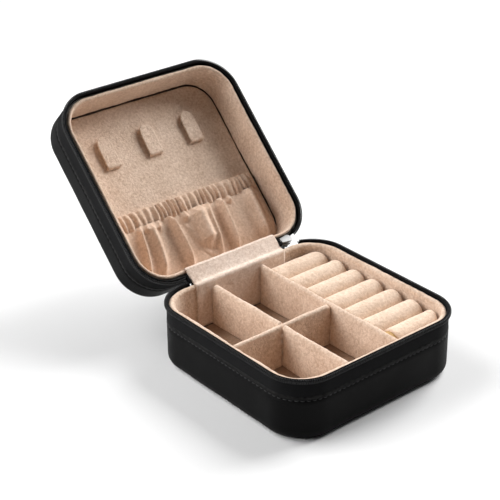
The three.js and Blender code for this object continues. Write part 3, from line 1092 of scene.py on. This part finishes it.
SIM_SCALE = 10.0  # the cloth settles ten times its size, where the solver is at its steadiest


def first_fold(x, v):
    """The height of the ridges at a place on the pocket before it settles."""
    lift = 0.0
    for start, end, last, tall, wide in RIDGES:
        centre = start + (end - start) * v + 1.2 * math.sin(math.pi * v) * math.sin(start)
        fade = 1.0 if last >= 1.0 else min(max((last - v) / RIDGE_FADE, 0.0), 1.0)
        lift += tall * fade * math.exp(-((x - centre) / wide) ** 2)
    return lift * min(1.0, 0.3 + 3.0 * v) * min(1.0, 0.1 + 3.2 * (1 - v))


def settle(cloth, flat_points, pinned, frames):
    """Lets a folded cloth settle against the panel, then keeps the settled shape."""
    cloth.shape_key_add(name="folded")
    flat = cloth.shape_key_add(name="flat")
    for index, point in enumerate(flat_points):
        flat.data[index].co = point
    pins = cloth.vertex_groups.new(name="sewn")
    pins.add(pinned, 1.0, "REPLACE")
    sim = cloth.modifiers.new("cloth", "CLOTH")
    for key, value in CLOTH.items():
        setattr(sim.settings, key, value)
    sim.settings.vertex_group_mass = "sewn"
    sim.settings.rest_shape_key = flat
    sim.collision_settings.use_collision = True
    sim.collision_settings.distance_min = CLOTH_GAP
    sim.point_cache.frame_start = 1
    sim.point_cache.frame_end = frames
    bpy.context.scene.frame_start = 1
    bpy.context.scene.frame_end = frames
    for frame_number in range(1, frames + 1):
        bpy.context.scene.frame_set(frame_number)
    settled = cloth.evaluated_get(bpy.context.evaluated_depsgraph_get())
    points = [v.co.copy() for v in settled.data.vertices]
    bpy.context.scene.frame_set(1)
    return points


def panel_collider():
    """The panel behind the pocket while the cloth settles."""
    mesh = bpy.data.meshes.new("panel_collider")
    corners = [(-60, 0, -0.2), (60, 0, -0.2), (60, 60, -0.2), (-60, 60, -0.2)]
    points = [Vector(c) * MM * SIM_SCALE for c in corners]
    mesh.from_pydata(points, [], [(0, 1, 2, 3)])
    made = add_object("panel_collider", mesh)
    made.modifiers.new("collision", "COLLISION")
    made.collision.thickness_outer = CLOTH_GAP
    return made


def folded_pocket():
    """The pocket before it settles: folded rows, the same points laid flat, and which are sewn in."""
    sections = smooth_path(POCKET_SECTION, CLOTH_ROWS)
    folded, flat, pinned = [], [], []
    run = 0.0
    for i, section in enumerate(sections):
        v = i / (CLOTH_ROWS - 1)
        if i:
            run += (section - sections[i - 1]).length
        row = []
        for j in range(CLOTH_COLUMNS):
            x = (j / (CLOTH_COLUMNS - 1) * 2 - 1) * CLOTH_HALF
            near = max(1 - v * 5, 0.0)
            depth = section.y * (1 - near) + seam_depth(x) * near
            side = min((CLOTH_HALF - abs(x)) / 3.0, 1.0)
            out = (PANEL_FACE - depth) * (0.25 + 0.75 * side) + first_fold(x, v) * side
            row.append(Vector((x, section.x, max(out, 0.3))) * SIM_SCALE)
            flat.append(Vector((x * FULLNESS, run * SLACK, 0)) * MM * SIM_SCALE)
            if i in (0, CLOTH_ROWS - 1) or j in (0, CLOTH_COLUMNS - 1):
                pinned.append(i * CLOTH_COLUMNS + j)
        folded.append(row)
    return folded, flat, pinned


def pocket():
    """The pocket's cloth: sewn in at all four sides with more cloth than room, and let settle."""
    folded, flat, pinned = folded_pocket()
    cloth = grid("pocket_gathers", folded)
    collider = panel_collider()
    gravity = bpy.context.scene.gravity.copy()
    bpy.context.scene.gravity = CLOTH_PULL
    points = settle(cloth, flat, pinned, SETTLE_FRAMES)
    bpy.context.scene.gravity = gravity
    bpy.data.objects.remove(collider)
    bpy.data.objects.remove(cloth)
    shrunk = [p / SIM_SCALE / MM for p in points]
    drawn = [Vector((p.x, p.y, PANEL_FACE - p.z)) for p in shrunk]
    rows = [drawn[i * CLOTH_COLUMNS:(i + 1) * CLOTH_COLUMNS] for i in range(CLOTH_ROWS)]
    made = grid("pocket_gathers", rows)
    finer = made.modifiers.new("finer", "SUBSURF")
    finer.levels = 1
    bpy.context.view_layer.objects.active = made
    bpy.ops.object.modifier_apply(modifier="finer")
    return roughen(made, 0.1, 2.2, seed=7.5)


elastic_piece = casing()
finish_piece(elastic_piece, LID, "lid", POCKET_CLOTH_PAINTED_LIGHT, ["pocket_elastic"])
pocket_piece = pocket()
finish_piece(pocket_piece, LID, "lid", POCKET_CLOTH_PAINTED_LIGHT, ["pocket_cloth"])


# ---- Zip slider, pull and the zip's ends ----
def plate(name, outline, low, high, bevel):
    """A flat metal plate with rounded edges, its outline in X and Z, its thickness along Y."""
    work = bmesh.new()
    ring = [work.verts.new(Vector((x, low, z)) * MM) for x, z in outline]
    face = work.faces.new(ring)
    pushed = bmesh.ops.extrude_face_region(work, geom=[face])
    moved = [v for v in pushed["geom"] if isinstance(v, bmesh.types.BMVert)]
    bmesh.ops.translate(work, verts=moved, vec=Vector((0, high - low, 0)) * MM)
    bmesh.ops.recalc_face_normals(work, faces=work.faces)
    rim = [e for e in work.edges if abs(e.verts[0].co.y - e.verts[1].co.y) < 1e-7]
    bmesh.ops.bevel(work, geom=rim, offset=bevel * MM, segments=3, affect="EDGES", profile=0.6)
    mesh = bpy.data.meshes.new(name)
    work.to_mesh(mesh)
    work.free()
    made = add_smooth(name, mesh)
    mesh.set_sharp_from_angle(angle=math.radians(50))
    return made


SLIDER_HALF_LONG, SLIDER_HALF_WIDE = 3.4, 2.1
BAR_OUT = 2.75  # how far the bar for the pull stands out from the hinge line
BAR_RADIUS = 0.42
PULL_HALF_WIDE = 2.45
EYE_RADIUS = 1.0


def shield(half_long, half_wide, x):
    """The slider's outline: narrow at one end, round at the other."""
    points = [(x - half_long, -half_wide * 0.62), (x - half_long + 0.5, -half_wide * 0.72)]
    for k in range(17):
        a = -math.pi / 2 + math.pi * k / 16
        points.append((x + half_long * 0.3 + half_wide * math.cos(a), half_wide * math.sin(a)))
    points += [(x - half_long + 0.5, half_wide * 0.72), (x - half_long, half_wide * 0.62)]
    return points


def slider():
    """Two shield plates on a post, with a bridge for the pull."""
    x = slider_low.x + SLIDER_HALF_LONG
    y, z = PIVOT_Y, PIVOT_Z

    def at(outline):
        return [(px, pz + z) for px, pz in outline]

    face = at(shield(SLIDER_HALF_LONG, SLIDER_HALF_WIDE, x))
    parts = [
        plate("slider_inner", face, y - 1.6, y - 0.85, 0.22),
        plate("slider_outer", face, y + 0.45, y + 1.2, 0.22),
        plate("slider_post", at(shield(2.0, 0.75, x - 0.6)), y - 1.2, y + 0.8, 0.1),
    ]
    for side in (-1, 1):
        flange = [
            (x - 3.1, side * 1.45), (x + 1.0, side * 2.05), (x + 1.0, side * 1.8), (x - 3.1, side * 1.2),
        ]
        parts.append(plate("slider_flange", at(flange[::side]), y + 0.1, y + 0.6, 0.08))
    rising = [(1.0, -1.75), (2.1, -1.75), (BAR_OUT, -1.1), (BAR_OUT, 1.1), (2.1, 1.75), (1.0, 1.75)]
    bridge = [Vector((x, y + out, z + up)) for out, up in rising]
    parts.append(tube("slider_bridge", smooth_path(bridge, 28), BAR_RADIUS))
    made = join("slider_body", parts)
    finish_piece(made, ZIP, "slider", NICKEL, ["zip_slider"])


def pull():
    """A tapered tab with a round eye that turns on the slider's bridge."""
    low, high = drawn_box("zip_pull", ZIP)
    x = (low.x + high.x) / 2
    bar_y = PIVOT_Y + BAR_OUT
    z = PIVOT_Z
    turns = [TAU * k / 24 for k in range(25)]
    eye = [Vector((x + EYE_RADIUS * math.sin(a), bar_y + EYE_RADIUS * math.cos(a), z)) for a in turns]
    wide = PULL_HALF_WIDE
    end = high.y - bar_y - wide
    outline = [(-0.85, 0.9), (-0.9, 4.0), (-wide + 0.15, 6.4), (-wide, 8.0), (-wide, end)]
    for k in range(1, 12):
        a = math.pi - math.pi * k / 12
        outline.append((wide * math.cos(a), end + wide * math.sin(a)))
    outline += [(wide, end), (wide, 8.0), (wide - 0.15, 6.4), (0.9, 4.0), (0.85, 0.9)]
    tab = plate("pull_tab", outline, -0.4, 0.4, 0.15)
    hanging = Matrix(((0, 1, 0, 0), (0, 0, 1, 0), (1, 0, 0, 0), (0, 0, 0, 1)))
    tab.data.transform(hanging)
    tab.data.transform(Matrix.Translation(Vector((x, bar_y, z)) * MM))
    ring = tube("pull_eye", eye, 0.34, ring=12)
    made = join("pull_tab", [tab, ring])
    finish_piece(made, ZIP, "pull", NICKEL, ["zip_pull"])


slider()
pull()


def zip_end(side):
    """The zip tape's folded end beside the hinge."""
    name = "zip_end_right" if side > 0 else "zip_end_left"
    low, high = drawn_box(name, ZIP)
    middle = (low + high) / 2
    bend = middle + Vector((0.1 * side, 0.2, 0))
    ends = (Vector((middle.x, middle.y, low.z)), Vector((middle.x, middle.y, high.z)))
    path = smooth_path([ends[0], bend, ends[1]], 16)
    made = sausage(
        f"{name}_fold", path, Vector((0, 1, 0)), lambda t: high.y - low.y, lambda t: high.x - low.x,
        columns=14, sharp=4,
    )
    finish_piece(made, ZIP, "zip_ends", TAPE, [name])


zip_end(1)
zip_end(-1)

# ---- CAD nodes that stay, with their own materials ----
# The ring bed gets the floors' darker velvet: painted shade in the gaps between the rolls.
for node, paint in (("base_shell_board", BOARD), ("lid_shell_board", BOARD), ("ring_bed", FLOOR_VELVET_PAINTED_SHADE)):
    for material_slot in frame["nodes"][node].material_slots:
        material_slot.material = paint


# ---- Stage, camera and light ----
FADE_START, FADE_END = 0.3, 0.7  # metres from the case over which the floor fades out
CASE_MIDDLE = 0.04
CAMERA_PLACE = (-0.378001, -0.417943, 0.351946)
CAMERA_YAW, CAMERA_PITCH, CAMERA_ROLL = -39.565, 27.578, -0.532
FOCAL_LENGTH, SENSOR_WIDTH = 104.23, 36


def stage():
    """A plain pale floor that fades out towards its edges."""
    mesh = bpy.data.meshes.new("floor")
    size = 4.0
    corners = [(-size, -size, 0), (size, -size, 0), (size, size, 0), (-size, size, 0)]
    mesh.from_pydata(corners, [], [(0, 1, 2, 3)])
    made = add_object("floor", mesh)
    paint = Paint("floor_paint")
    tone = paint.noise(0.01, detail=2.0)
    tint = paint.mix(tone, grey(0.84), grey(0.86))
    place = paint.add("ShaderNodeTexCoord", output=3)
    away = paint.add("ShaderNodeVectorMath", {0: place}, output=1, operation="LENGTH")
    faded = paint.ramp(away, FADE_START, FADE_END, 1.0, 0.0)
    made.data.materials.append(
        paint.finish(Base_Color=tint, Roughness=0.8, Specular_IOR_Level=0.2, Alpha=faded)
    )


def camera():
    """The camera where the photograph was taken from, looking down at the case."""
    data = bpy.data.cameras.new("camera")
    data.sensor_width = SENSOR_WIDTH
    data.lens = FOCAL_LENGTH
    data.clip_start = 0.01
    made = add_object("camera", data)
    yaw = Matrix.Rotation(math.radians(CAMERA_YAW), 4, "Z")
    pitch = Matrix.Rotation(math.radians(90 - CAMERA_PITCH), 4, "X")
    bank = Matrix.Rotation(math.radians(CAMERA_ROLL), 4, "Z")
    made.matrix_world = Matrix.Translation(CAMERA_PLACE) @ yaw @ pitch @ bank
    bpy.context.scene.camera = made


def lamp(name, place, target, width, height, power):
    """A soft box of that size in metres, aimed at the target."""
    data = bpy.data.lights.new(name, "AREA")
    data.shape = "RECTANGLE"
    data.size = width
    data.size_y = height
    data.energy = power
    made = add_object(name, data)
    made.location = place
    made.rotation_euler = (Vector(target) - Vector(place)).to_track_quat("-Z", "Y").to_euler()


def dome_lamp(name, azimuth, elevation, width, height, power):
    """A soft box a metre away from the case, seen from it at azimuth (from +X) and elevation."""
    turn, rise = math.radians(azimuth), math.radians(elevation)
    across = math.cos(rise)
    place = (math.cos(turn) * across, math.sin(turn) * across, CASE_MIDDLE + math.sin(rise))
    lamp(name, place, (0, 0, CASE_MIDDLE), width, height, power)


def light():
    """Three soft boxes, and a white backdrop that only the camera sees at full strength."""
    dome_lamp("right_box", 0, 36, 0.6, 1.0, 17.5)
    dome_lamp("left_box", 157, 26, 0.6, 0.6, 6.5)
    dome_lamp("back_box", 120, 40, 0.6, 0.8, 7.5)
    world = bpy.data.worlds.new("studio")
    bpy.context.scene.world = world
    world.use_nodes = True
    tree = world.node_tree
    background = tree.nodes["Background"]
    background.inputs["Color"].default_value = grey(1.0)
    rays = tree.nodes.new("ShaderNodeLightPath")
    strength = tree.nodes.new("ShaderNodeMapRange")
    strength.inputs["To Min"].default_value = 0.03
    strength.inputs["To Max"].default_value = 1.0
    tree.links.new(rays.outputs["Is Camera Ray"], strength.inputs["Value"])
    tree.links.new(strength.outputs["Result"], background.inputs["Strength"])
    bpy.context.scene.view_settings.view_transform = "Standard"
    bpy.context.scene.view_settings.look = "None"


stage()
camera()
light()
